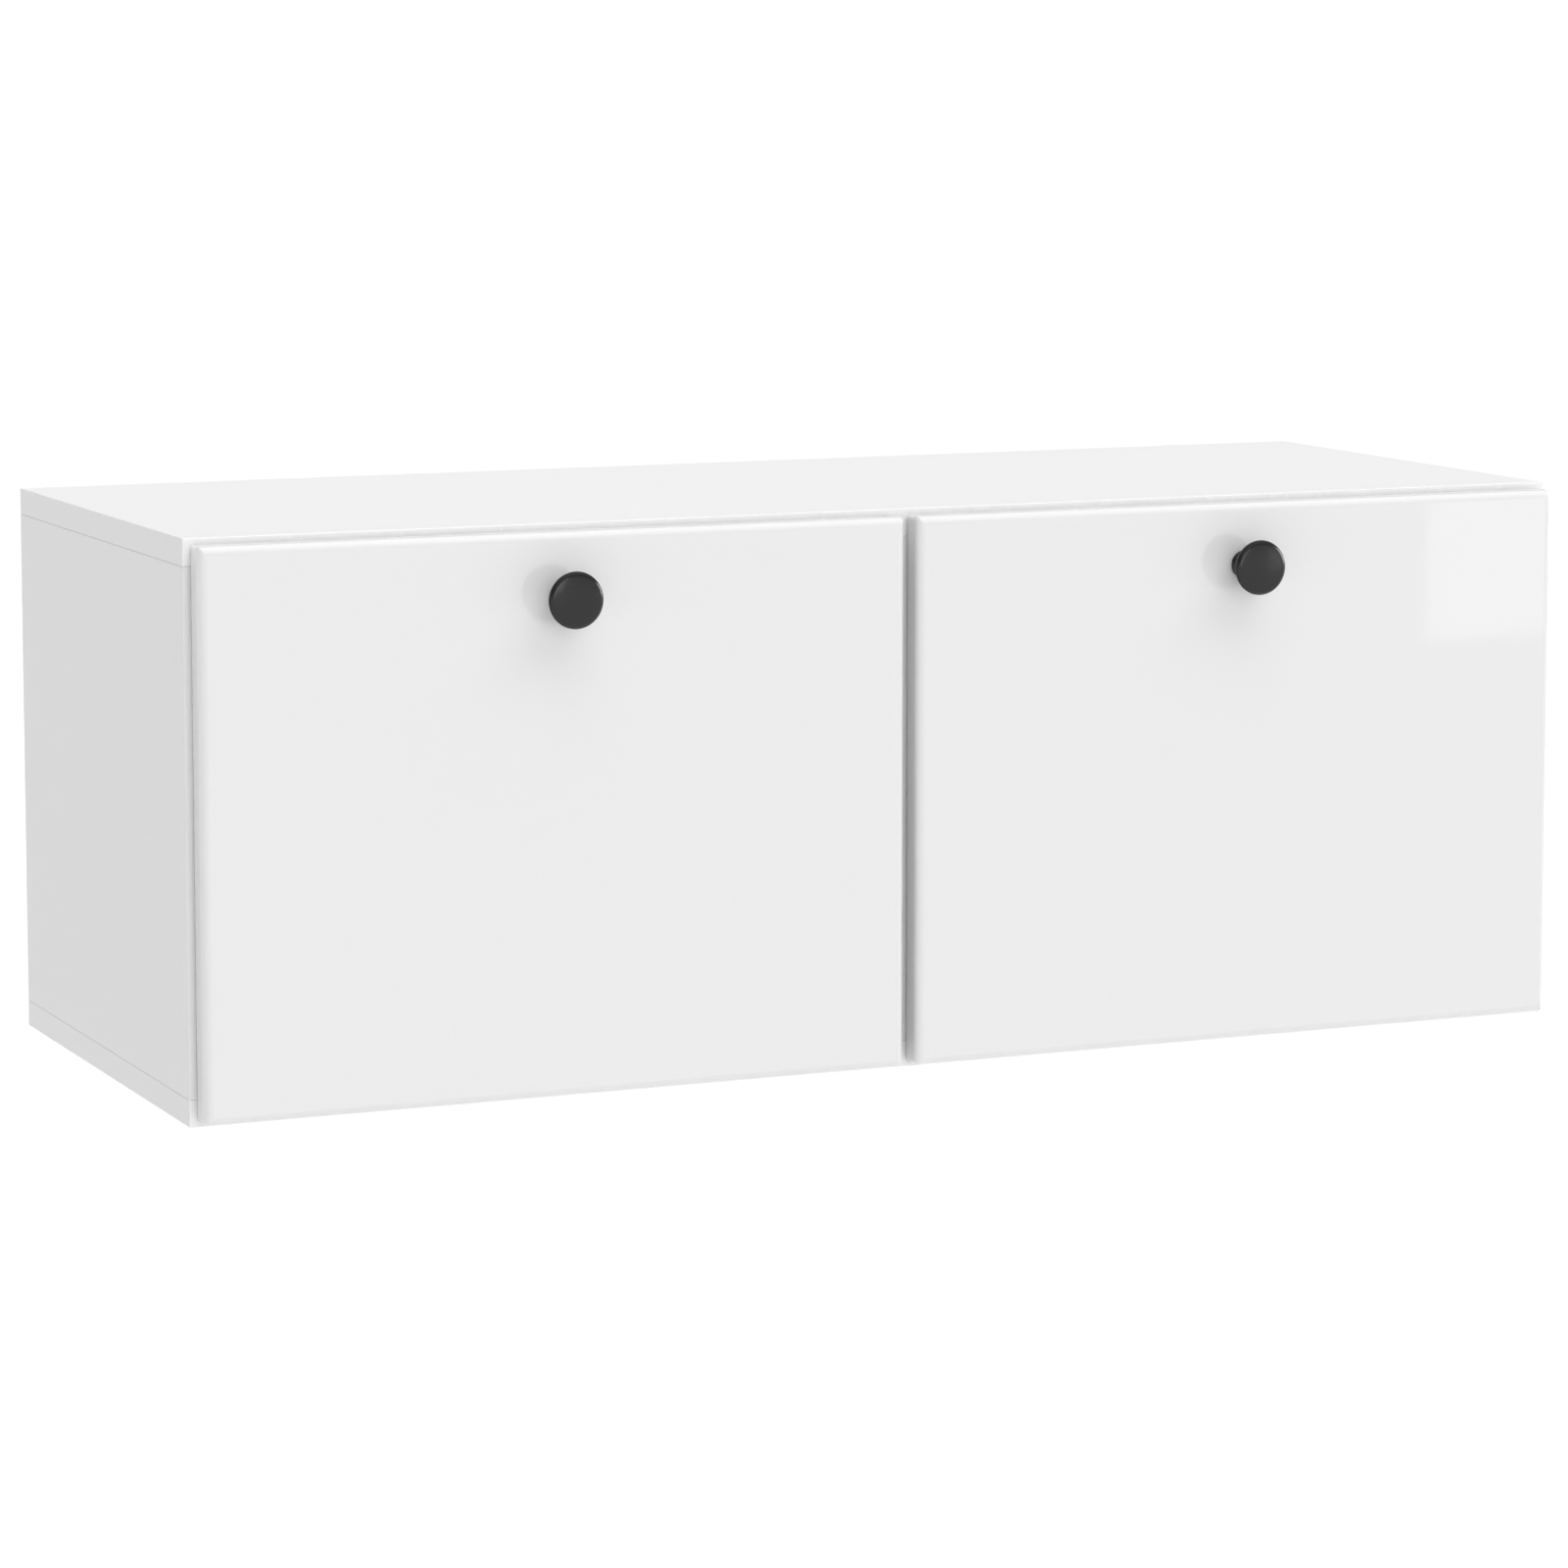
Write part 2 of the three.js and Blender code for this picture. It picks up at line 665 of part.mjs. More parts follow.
// The plate on the wall, joggled so that its upper lip stands off for the hook's nose.
function wallPlate(side) {
  const lipTop = hangerZ - hookHeight / 2 - gap;
  const low = lipTop - wallPlateHeight;
  const bend = lipTop - hookNoseLength - wallPlateSeat;
  const slope = wallPlateStandOff;
  const t = wallPlateThickness;
  const outline = new THREE.Shape();
  outline.moveTo(0, low);
  outline.lineTo(0, bend - slope);
  outline.lineTo(-wallPlateStandOff, bend);
  outline.lineTo(-wallPlateStandOff, lipTop);
  outline.lineTo(hookLipY, lipTop);
  outline.lineTo(hookLipY, bend - t / 2);
  outline.lineTo(-t, bend - slope - t / 2);
  outline.lineTo(-t, low);
  return extrudeX(outline, fromSide(side, gap, gap + wallPlateWidth));
}

// ---------------------------------------------------------------- catches and bumpers

const magnetFace = carcassFront + strikeThickness - doorGap + gap;

function catchHousing(middleX) {
  const frontFace = magnetFace + magnetProud;
  const zSpan = [innerTop - catchHeight, innerTop];
  const body = block(about(middleX, catchWidth), [frontFace, frontFace + catchLength], zSpan);
  const recess = block(
    about(middleX, magnetWidth + 2 * gap),
    [frontFace - 1, magnetFace + magnetLength + gap],
    about(innerTop - catchHeight / 2, magnetHeight + 2 * gap),
  );
  return cut(body, recess);
}

function catchMagnet(middleX) {
  return block(
    about(middleX, magnetWidth),
    [magnetFace, magnetFace + magnetLength],
    about(innerTop - catchHeight / 2, magnetHeight),
  );
}

function strikePlate(middleX) {
  return block(
    about(middleX, strikeWidth),
    [doorInnerFace, doorInnerFace + strikeThickness],
    about(innerTop - catchHeight / 2, strikeHeight),
  );
}

function bumper(x) {
  return cylinderY(
    bumperRadius, x, [doorInnerFace + bumperThickness, doorInnerFace], carcassTop - board / 2, 24);
}

// ---------------------------------------------------------------- assembly

for (const [label, side] of [['left', -1], ['right', 1]]) {
  const middleX = side * doorMiddle;

  add(`${label}_side_panel`, sidePanel(side), satinWhite);
  add(`${label}_back_panel`, backPanel(side), whiteHardboard);

  add(`${label}_door`, door(), glossWhite).position.x = middleX;
  add(`${label}_knob`, knob(), blackSatin).position.set(middleX, doorFace, knobUp);
  add(`${label}_knob_screw`, knobScrew(), zinc).position.set(middleX, doorInnerFace, knobUp);

  for (const place of hingePlaces) {
    const end = place * side > 0 ? 'outer' : 'inner';
    const hinge = new THREE.Group();
    hinge.position.x = middleX + place;
    cabinet.add(hinge);
    add(`${label}_${end}_hinge_cup`, hingeCup(), nickel, hinge);
    add(`${label}_${end}_hinge_arm`, hingeArm(), nickel, hinge);
    add(`${label}_${end}_hinge_plate`, hingePlate(), nickel, hinge);
    add(`${label}_${end}_hinge_pin`, hingePin(), zinc, hinge);
  }

  add(`${label}_stay_base`, stayBase(side), nickel);
  add(`${label}_stay_bracket`, stayBracket(side), nickel);
  const swivel = add(`${label}_stay_swivel`, swivelHousing(side), greyPlastic);
  swivel.position.set(0, swivelY, swivelZ);
  swivel.rotation.x = rodSlope;
  const rod = add(`${label}_stay_rod`, stayRod(side), zinc);
  rod.position.set(0, rodPivotY, rodPivotZ);
  rod.rotation.x = rodSlope;

  add(`${label}_hanger_housing`, hangerHousing(side), whitePlastic);
  add(`${label}_hanger_hook`, hangerHook(side), zinc);
  add(`${label}_hanger_screw`, heightScrew(side), zinc);
  add(`${label}_wall_plate`, wallPlate(side), zinc);

  add(`${label}_catch_housing`, catchHousing(middleX), whitePlastic);
  add(`${label}_catch_magnet`, catchMagnet(middleX), magnetGrey);
  add(`${label}_strike_plate`, strikePlate(middleX), zinc);
  for (const [end, direction] of [['outer', 1], ['inner', -1]]) {
    const x = middleX + side * direction * (doorWidth / 2 - bumperInset);
    add(`${label}_${end}_bumper`, bumper(x), clearRubber);
  }
}

export default cabinet;
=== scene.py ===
"""Hanging wall cabinet with two drop-down doors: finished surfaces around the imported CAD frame.

Everything is in metres, +Z up. The doors face -Y and the wall plane is at Y = 0.
"""
import math

import bmesh
import bpy
from mathutils import Matrix, Vector


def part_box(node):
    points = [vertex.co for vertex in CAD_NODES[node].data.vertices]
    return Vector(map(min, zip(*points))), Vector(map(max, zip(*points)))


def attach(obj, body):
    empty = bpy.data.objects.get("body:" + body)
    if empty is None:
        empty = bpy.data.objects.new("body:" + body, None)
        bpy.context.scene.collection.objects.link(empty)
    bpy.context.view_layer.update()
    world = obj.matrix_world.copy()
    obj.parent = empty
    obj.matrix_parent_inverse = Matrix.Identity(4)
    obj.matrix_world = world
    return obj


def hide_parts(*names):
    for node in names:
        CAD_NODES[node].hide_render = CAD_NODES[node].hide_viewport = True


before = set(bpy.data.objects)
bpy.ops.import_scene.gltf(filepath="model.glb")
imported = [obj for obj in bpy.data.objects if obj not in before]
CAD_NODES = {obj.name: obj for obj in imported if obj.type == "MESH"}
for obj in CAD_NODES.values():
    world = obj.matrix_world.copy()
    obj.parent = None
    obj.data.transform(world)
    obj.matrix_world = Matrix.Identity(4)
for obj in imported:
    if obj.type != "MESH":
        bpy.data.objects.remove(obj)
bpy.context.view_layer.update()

MM = 0.001
SIDES = (("left", -1), ("right", 1))
ENDS = ("outer", "inner")

# ------------------------------------------------------------------ camera

CAMERA_PLACE = (-1.5126, -3.6661, 0.5364)
CAMERA_YAW = 23.488        # degrees to the right of straight ahead
CAMERA_PITCH = -6.723      # degrees, looking down
CAMERA_LENS = 124.55       # mm, on a sensor of the width below
CAMERA_SENSOR = 36
CAMERA_SHIFT = -0.1


def make_camera():
    data = bpy.data.cameras.new("camera")
    data.lens = CAMERA_LENS
    data.sensor_width = CAMERA_SENSOR
    data.shift_y = CAMERA_SHIFT
    data.clip_end = 2 * FLOOR_SIZE
    camera = bpy.data.objects.new("camera", data)
    bpy.context.scene.collection.objects.link(camera)
    camera.location = CAMERA_PLACE
    camera.rotation_euler = (math.radians(90 + CAMERA_PITCH), 0, -math.radians(CAMERA_YAW))
    bpy.context.scene.camera = camera


# ------------------------------------------------------------------ light and floor

# Brightness of the surroundings by the sine of the height above the horizon
SKY = ((0, 1.0), (0.09, 0.95), (0.3, 0.22), (1, 0.78))
FLOOR_DROP = 1.6           # below the cabinet's middle
FLOOR_SIZE = 3000
CABINET_MIDDLE = (0, -0.2, 0)

# Name, direction it comes from, strength, width in degrees, whether reflections show it
SUNS = (
    ("fill", (-0.09, -0.736, 0.13), 0.753, 40, True),
    ("key", (0.3, -0.2, 1), 2.57, 75, False),
)
# Name, place, target, width and height, power, whether it also lights dull surfaces
SOFT_BOXES = (
    ("front_right", (2.72, -3.5, 0.06), (2.72, 0, 0.06), (1.03, 0.81), 2.2, True),
    ("glint_right", (3.3, -1.5, 0.75), CABINET_MIDDLE, (0.9, 1.4), 50, False),
    ("behind_right", (2.6, 1.9, 0.0), CABINET_MIDDLE, (1.2, 0.36), 8, True),
)


def soft_box(name, place, target, size, power, diffuse):
    data = bpy.data.lights.new(name, "AREA")
    data.shape = "RECTANGLE"
    data.size, data.size_y = size
    data.energy = power
    light = bpy.data.objects.new(name, data)
    bpy.context.scene.collection.objects.link(light)
    light.location = place
    light.rotation_euler = (Vector(target) - Vector(place)).to_track_quat("-Z", "Y").to_euler()
    light.visible_camera = False
    light.visible_diffuse = diffuse


def make_world():
    """Soft surroundings: a white horizon, dimmer above it and brighter again overhead."""
    world = bpy.data.worlds.new("studio")
    world.use_nodes = True
    tree = world.node_tree
    split = tree.nodes.new("ShaderNodeSeparateXYZ")
    where = tree.nodes.new("ShaderNodeTexCoord").outputs["Generated"]
    tree.links.new(where, split.inputs["Vector"])
    ramp = tree.nodes.new("ShaderNodeValToRGB")
    stops = ramp.color_ramp.elements
    while len(stops) < len(SKY):
        stops.new(0.5)
    for stop, (height, level) in zip(stops, SKY):
        stop.position = height
        stop.color = (level, level, level, 1)
    tree.links.new(split.outputs["Z"], ramp.inputs["Fac"])
    tree.links.new(ramp.outputs["Color"], tree.nodes["Background"].inputs["Color"])
    return world


def sun(name, direction, strength, spread, glossy):
    """Even light from far away. The direction points from the cabinet towards it."""
    data = bpy.data.lights.new(name, "SUN")
    data.energy = strength
    data.angle = math.radians(spread)
    light = bpy.data.objects.new(name, data)
    bpy.context.scene.collection.objects.link(light)
    light.rotation_euler = Vector(direction).to_track_quat("Z", "Y").to_euler()
    light.visible_glossy = glossy


def make_studio():
    scene = bpy.context.scene
    scene.view_settings.view_transform = "Standard"
    scene.world = make_world()

    for light in SUNS:
        sun(*light)
    for light in SOFT_BOXES:
        soft_box(*light)

    floor = bmesh.new()
    bmesh.ops.create_grid(floor, x_segments=2, y_segments=2, size=FLOOR_SIZE / 2)
    ground = add_object("studio_floor", floor, floor_material())
    ground.location.z = -FLOOR_DROP


# ------------------------------------------------------------------ materials

_made = {}                 # finishes by name, so that each is made once


def surface(name, colour, roughness, metallic=0.0, mottle=0.02, mottle_scale=9.0,
            rough_spread=0.04, rough_scale=60.0, bump=0.05, bump_scale=700.0,
            bump_depth=0.05 * MM, stretch=(1, 1, 1), sockets=None):
    """A solid finish: a base colour that drifts a little, an uneven roughness and a fine relief."""
    if name in _made:
        return _made[name]
    made = bpy.data.materials.new(name)
    made.use_nodes = True
    tree = made.node_tree
    shader = tree.nodes["Principled BSDF"]
    link = tree.links.new

    where = tree.nodes.new("ShaderNodeTexCoord").outputs["Object"]
    mapping = tree.nodes.new("ShaderNodeMapping")
    mapping.inputs["Scale"].default_value = stretch
    link(where, mapping.inputs["Vector"])

    def noise(scale, detail):
        node = tree.nodes.new("ShaderNodeTexNoise")
        node.inputs["Scale"].default_value = scale
        node.inputs["Detail"].default_value = detail
        link(mapping.outputs["Vector"], node.inputs["Vector"])
        return node.outputs["Fac"]

    drift = tree.nodes.new("ShaderNodeMix")
    drift.data_type = "RGBA"
    drift.inputs["A"].default_value = (*(c * (1 - mottle) for c in colour), 1)
    drift.inputs["B"].default_value = (*(min(1, c * (1 + mottle)) for c in colour), 1)
    link(noise(mottle_scale, 3), drift.inputs["Factor"])
    link(drift.outputs["Result"], shader.inputs["Base Color"])

    spread = tree.nodes.new("ShaderNodeMapRange")
    spread.inputs["From Min"].default_value = 0.3
    spread.inputs["From Max"].default_value = 0.7
    spread.inputs["To Min"].default_value = max(0, roughness - rough_spread)
    spread.inputs["To Max"].default_value = roughness + rough_spread
    link(noise(rough_scale, 2), spread.inputs["Value"])
    link(spread.outputs["Result"], shader.inputs["Roughness"])

    relief = tree.nodes.new("ShaderNodeBump")
    relief.inputs["Strength"].default_value = bump
    relief.inputs["Distance"].default_value = bump_depth
    link(noise(bump_scale, 2), relief.inputs["Height"])
    link(relief.outputs["Normal"], shader.inputs["Normal"])

    shader.inputs["Metallic"].default_value = metallic
    for socket, value in (sockets or {}).items():
        shader.inputs[socket].default_value = value
    _made[name] = made
    return made


def melamine():
    return surface("satin_melamine", (0.727, 0.727, 0.727), 0.42, mottle=0.006, mottle_scale=5,
                   rough_scale=900, bump=0.25, bump_scale=1100, bump_depth=0.04 * MM)


def edging_with_painted_light():
    """Glossy edge band on the front of the top and bottom boards, painted lighter than the boards:
    painted light that lifts the shade on the narrow strips beside the doors.
    """
    return surface("gloss_edging_painted_light", (0.79, 0.79, 0.79), 0.25, mottle=0.004, mottle_scale=6,
                   rough_scale=80, bump=0.1, bump_scale=400, bump_depth=0.02 * MM)


def lacquer():
    return surface("gloss_lacquer", (0.677, 0.677, 0.677), 0.035, mottle=0.004, mottle_scale=3,
                   rough_spread=0.01, rough_scale=40, bump=0.2, bump_scale=160,
                   bump_depth=0.02 * MM, sockets={"Coat Weight": 0.5, "Coat Roughness": 0.02})


def raw_board():
    """Chipboard where a board has no edging."""
    return surface("raw_chipboard", (0.52, 0.38, 0.24), 0.85, mottle=0.35, mottle_scale=420,
                   bump=0.9, bump_scale=500, bump_depth=0.5 * MM, stretch=(0.35, 1, 1))


def raw_fibreboard():
    return surface("raw_fibreboard", (0.46, 0.33, 0.21), 0.9, mottle=0.12, mottle_scale=900,
                   bump=0.6, bump_scale=1500, bump_depth=0.15 * MM)


def hardboard_face():
    return surface("hardboard_white", (0.76, 0.755, 0.74), 0.5, mottle=0.012, mottle_scale=14,
                   bump=0.35, bump_scale=600, bump_depth=0.08 * MM)


def hardboard_rear():
    return surface("hardboard_brown", (0.34, 0.22, 0.13), 0.8, mottle=0.18, mottle_scale=260,
                   bump=0.8, bump_scale=900, bump_depth=0.25 * MM)


def black_satin():
    return surface("black_satin", (0.0092, 0.0092, 0.0095), 0.22, mottle=0.08, mottle_scale=120,
                   rough_spread=0.04, rough_scale=300, bump=0.15, bump_scale=1500,
                   bump_depth=0.03 * MM,
                   sockets={"Specular IOR Level": 0.28, "Coat Weight": 0.3, "Coat Roughness": 0.1})


def knob_rim_painted_shade():
    """The knob's edge, smoother than its face and painted darker: painted shade that stands in for
    the dark reflection on its rounding.
    """
    return surface("knob_rim_painted_shade", (0.005, 0.005, 0.0052), 0.22, mottle=0.08, mottle_scale=120,
                   rough_spread=0.03, rough_scale=300, bump=0.1, bump_scale=1500,
                   bump_depth=0.02 * MM, sockets={"Specular IOR Level": 0.3})


def nickel():
    return surface("nickel_plate", (0.62, 0.61, 0.58), 0.27, 1.0, mottle=0.06, mottle_scale=90,
                   rough_spread=0.08, rough_scale=260, bump=0.25, bump_scale=900,
                   bump_depth=0.03 * MM)


def zinc():
    return surface("zinc_plate", (0.55, 0.57, 0.6), 0.34, 1.0, mottle=0.1, mottle_scale=150,
                   rough_spread=0.1, rough_scale=420, bump=0.3, bump_scale=1200,
                   bump_depth=0.04 * MM)


def drawn_steel():
    """Rod stock, with fine drawing lines across X."""
    return surface("drawn_steel", (0.6, 0.61, 0.62), 0.2, 1.0, mottle=0.05, mottle_scale=200,
                   rough_spread=0.06, rough_scale=900, bump=0.3, bump_scale=2500,
                   bump_depth=0.02 * MM, stretch=(1, 0.05, 0.05))


def white_plastic():
    return surface("white_plastic", (0.74, 0.74, 0.725), 0.45, mottle=0.01, mottle_scale=40,
                   bump=0.3, bump_scale=1400, bump_depth=0.05 * MM,
                   sockets={"Subsurface Weight": 0.05})


def grey_plastic():
    return surface("grey_plastic", (0.28, 0.285, 0.29), 0.48, mottle=0.04, mottle_scale=60,
                   bump=0.4, bump_scale=1300, bump_depth=0.06 * MM)


def ferrite():
    return surface("ferrite", (0.05, 0.05, 0.052), 0.55, 0.3, mottle=0.15, mottle_scale=700,
                   bump=0.5, bump_scale=1200, bump_depth=0.08 * MM)


def clear_rubber():
    return surface("clear_rubber", (0.8, 0.82, 0.83), 0.25, mottle=0.01, mottle_scale=80,
                   bump=0.1, bump_scale=900, bump_depth=0.03 * MM,
                   sockets={"Transmission Weight": 0.6, "IOR": 1.42})


def floor_material():
    return surface("studio_floor", (0.8, 0.8, 0.8), 0.9, mottle=0.004, mottle_scale=0.5,
                   bump=0.02, bump_scale=40)


# ------------------------------------------------------------------ mesh tools

SMOOTH_LIMIT = math.radians(38)


def add_object(name, mesh, *materials):
    """Turns a bmesh into an object, with edges sharper than the limit left hard."""
    mesh.normal_update()
    for face in mesh.faces:
        face.smooth = True
    for edge in mesh.edges:
        edge.smooth = len(edge.link_faces) == 2 and edge.calc_face_angle(0) < SMOOTH_LIMIT
    data = bpy.data.meshes.new(name)
    mesh.to_mesh(data)
    mesh.free()
    for material in materials:
        data.materials.append(material)
    made = bpy.data.objects.new(name, data)
    bpy.context.scene.collection.objects.link(made)
    return made


def even_normals(piece):
    """Lets the large flat faces decide the shading next to a narrow rounding."""
    weighted = piece.modifiers.new("even_normals", "WEIGHTED_NORMAL")
    weighted.keep_sharp = True


def bake_modifiers(piece):
    graph = bpy.context.evaluated_depsgraph_get()
    data = bpy.data.meshes.new_from_object(piece.evaluated_get(graph))
    piece.modifiers.clear()
    piece.data = data


def place(piece, body, slot, *nodes):
    """Sets a finished piece on its body and hides the CAD nodes that it stands for. The slot, its
    finish, is not used.
    """
    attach(piece, body)
    if nodes:
        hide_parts(*nodes)


def box_mesh(low, high):
    mesh = bmesh.new()
    size = Vector(high) - Vector(low)
    middle = (Vector(high) + Vector(low)) / 2
    stretch = Matrix.Diagonal((*size, 1))
    bmesh.ops.create_cube(mesh, size=1, matrix=Matrix.Translation(middle) @ stretch)
    return mesh


def round_edges(mesh, radius, segments=3, sharper_than=30):
    edges = [e for e in mesh.edges
             if len(e.link_faces) == 2 and e.calc_face_angle(0) > math.radians(sharper_than)]
    bmesh.ops.bevel(mesh, geom=edges, offset=radius, segments=segments, profile=0.5,
                    affect="EDGES", clamp_overlap=True)
    return mesh


def carve(piece, *cutters):
    """Cuts the cutters, which are bmeshes or objects, out of the piece."""
    objects = [c if isinstance(c, bpy.types.Object) else add_object("cutter", c) for c in cutters]
    for cutter in objects:
        if not cutter.data.materials:
            cutter.data.materials.append(piece.data.materials[0])
        boolean = piece.modifiers.new("cut", "BOOLEAN")
        boolean.solver = "EXACT"
        boolean.object = cutter
        boolean.material_mode = "TRANSFER"
    bake_modifiers(piece)
    for cutter in objects:
        bpy.data.objects.remove(cutter)


ON_AXIS = 1e-9


def lathe_mesh(profile, segments=64):
    """Turns (radius, height) points about Z. A profile that meets the axis is closed there."""
    mesh = bmesh.new()
    rings = []
    turn = [i * math.tau / segments for i in range(segments)]
    for radius, height in profile:
        if radius < ON_AXIS:
            rings.append([mesh.verts.new((0, 0, height))])
            continue
        rings.append([mesh.verts.new((radius * math.cos(a), radius * math.sin(a), height))
                      for a in turn])
    for lower, upper in zip(rings, rings[1:]):
        for i in range(segments):
            j = (i + 1) % segments
            corners = [lower[i % len(lower)], lower[j % len(lower)],
                       upper[j % len(upper)], upper[i % len(upper)]]
            unique = list(dict.fromkeys(corners))
            if len(unique) > 2:
                mesh.faces.new(unique)
    bmesh.ops.recalc_face_normals(mesh, faces=mesh.faces)
    return mesh


def curve_points(points, steps):
    """Points on a cubic Bezier, without the first."""
    a, b, c, d = (Vector(p) for p in points)
    found = []
    for step in range(1, steps + 1):
        t = step / steps
        u = 1 - t
        found.append(tuple(u**3 * a + 3 * u * u * t * b + 3 * u * t * t * c + t**3 * d))
    return found


def turned_to(direction, spin=0.0):
    """The rotation that takes +Z into a direction, after a spin about it."""
    turn = Vector(direction).to_track_quat("Z", "Y").to_matrix().to_4x4()
    return turn @ Matrix.Rotation(spin, 4, "Z")


def middle_of(node):
    low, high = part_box(node)
    return (low + high) / 2


# ------------------------------------------------------------------ screws

_templates = {}            # screw meshes, shared by equal screws


def screw_data(kind, radius, height, finish):
    """A screw head standing on Z = 0, with a cross recess. Its kind is pan or flat."""
    key = (kind, radius, height, finish.name)
    if key in _templates:
        return _templates[key]
    if kind == "pan":
        profile = [(0, -0.4 * height), (0.9 * radius, -0.4 * height), (radius, 0),
                   (radius, 0.3 * height)]
        profile += curve_points([(radius, 0.3 * height), (0.97 * radius, 0.75 * height),
                                 (0.6 * radius, height), (0, height)], 6)
    else:
        profile = [(0, -height), (0.45 * radius, -height), (radius, -0.12 * height),
                   (radius, 0.1 * height), (0.93 * radius, 0.18 * height), (0, 0.18 * height)]
    head = add_object("screw_head", lathe_mesh(profile, 28), finish)
    top = profile[-1][1]
    arm, slit, deep = 0.56 * radius, 0.11 * radius, 0.55 * height
    slots = [box_mesh((-x, -y, top - deep), (x, y, top + height))
             for x, y in ((arm, slit), (slit, arm))]
    carve(head, *slots)
    data = head.data
    bpy.data.objects.remove(head)
    for polygon in data.polygons:
        polygon.use_smooth = True
    data.set_sharp_from_angle(angle=SMOOTH_LIMIT)
    _templates[key] = data
    return data


_screw_count = {}
OWNER_SPIN, NUMBER_SPIN = 0.7, 1.3     # radians


def screw(owner, where, direction, body, kind="pan", radius=3.2 * MM, height=2 * MM):
    """One screw head seen on a surface, at a spin of its own as a hand would leave it."""
    number = _screw_count[owner] = _screw_count.get(owner, 0) + 1
    spin = OWNER_SPIN * len(_screw_count) + NUMBER_SPIN * number
    data = screw_data(kind, radius, height, zinc())
    head = bpy.data.objects.new(f"{owner}_screw_{number}", data)
    bpy.context.scene.collection.objects.link(head)
    head.matrix_world = Matrix.Translation(Vector(where)) @ turned_to(direction, spin)
    place(head, body, "zinc_steel")


# ------------------------------------------------------------------ carcass

EDGE_ROUND = 0.5 * MM
GROOVE_GAP = 0.3 * MM
COATED, RAW, BANDED = 0, 1, 2          # a board's material slots
FACES_REAR, FACES_FRONT = 0.99, -0.5   # limits of a face normal's Y
HOOK_MARGIN = (3 * MM, 20 * MM, 7 * MM)


def grooves_for(backs):
    """Slots a little larger than the back panels, to cut from a board that they enter."""
    cutters = []
    for node in backs:
        low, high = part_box(node)
        slack = Vector((GROOVE_GAP, GROOVE_GAP, GROOVE_GAP))
        cutters.append(box_mesh(low - slack, high + slack))
    return cutters


def board(node, name, backs, banded=False):
    """A coated board with eased edges and bare chipboard towards the wall.

    A banded board shows a glossy edge band at the front, painted lighter as painted light on the
    shaded strip beside the doors.
    """
    low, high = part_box(node)
    mesh = round_edges(box_mesh(low, high), EDGE_ROUND)
    mesh.normal_update()
    for face in mesh.faces:
        if face.normal.y > FACES_REAR:
            face.material_index = RAW
        elif banded and face.normal.y < FACES_FRONT:
            face.material_index = BANDED
    piece = add_object(name, mesh, melamine(), raw_board(), edging_with_painted_light())
    carve(piece, *grooves_for(backs))
    even_normals(piece)
    place(piece, "cabinet", "carcass_board", node)


def make_carcass():
    both = [f"{label}_back_panel" for label, _ in SIDES]
    board("top_panel", "top_board", both, banded=True)
    board("bottom_panel", "bottom_board", both, banded=True)
    board("centre_partition", "partition_board", both)
    for label, _ in SIDES:
        board(f"{label}_side_panel", f"{label}_side_board", [f"{label}_back_panel"])
        make_back(label)


def make_back(label):
    """A back panel, white inside and brown outside, notched for its hanger's hook."""
    node = f"{label}_back_panel"
    low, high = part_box(node)
    mesh = box_mesh(low, high)
    mesh.normal_update()
    for face in mesh.faces:
        face.material_index = COATED if face.normal.y < FACES_FRONT else RAW
    piece = add_object(f"{label}_back_board", mesh, hardboard_face(), hardboard_rear())
    hook_low, hook_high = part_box(f"{label}_hanger_hook")
    margin = Vector(HOOK_MARGIN)
    notch_low, notch_high = hook_low - margin, hook_high + margin
    if notch_low.x > 0:
        notch_high.x = high.x + MM
    else:
        notch_low.x = low.x - MM
    carve(piece, box_mesh(notch_low, notch_high))
    place(piece, "cabinet", "back_board", node)


CAP_RADIUS = 8.6 * MM
CAP_HEIGHT = 1.3 * MM
CAP_FROM_JOINT = 26 * MM
CAP_DEPTHS = (("rear", -0.095), ("front", -0.335))


def make_connector_caps():
    """Domed plastic caps over the connectors that hold the boards together."""
    profile = [(0, 0), (CAP_RADIUS, 0), (CAP_RADIUS, 0.3 * CAP_HEIGHT)]
    profile += curve_points([(CAP_RADIUS, 0.3 * CAP_HEIGHT), (0.96 * CAP_RADIUS, 0.9 * CAP_HEIGHT),
                             (0.5 * CAP_RADIUS, CAP_HEIGHT), (0, CAP_HEIGHT)], 6)
    inner_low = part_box("bottom_panel")[1].z
    inner_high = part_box("top_panel")[0].z
    levels = (("lower", inner_low + CAP_FROM_JOINT), ("upper", inner_high - CAP_FROM_JOINT))
    walls = []
    for label, side in SIDES:
        low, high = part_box(f"{label}_side_panel")
        walls.append((f"{label}_side", low.x if side > 0 else high.x, -side))
    walls.append(("partition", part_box("centre_partition")[1].x, 1))
    for owner, x, facing in walls:
        for level, z in levels:
            for position, y in CAP_DEPTHS:
                name = f"{owner}_{level}_{position}_cap"
                cap = add_object(name, lathe_mesh(profile, 40), white_plastic())
                cap.matrix_world = Matrix.Translation((x, y, z)) @ turned_to((facing, 0, 0))
                place(cap, "cabinet", "white_plastic")


# ------------------------------------------------------------------ doors and knobs

DOOR_FRONT_ROUND = 6 * MM
DOOR_BACK_ROUND = 1.2 * MM
DOOR_CORNER = 3 * MM
CUP_BORE = 17.5 * MM       # radius
CUP_BORE_DEPTH = 13.5 * MM
CUP_CLEARANCE = 0.3 * MM   # from the bore's lowest point up to the cup's
SCREW_BORE = 2.5 * MM      # radius
SCREW_BORE_DEPTH = 30 * MM


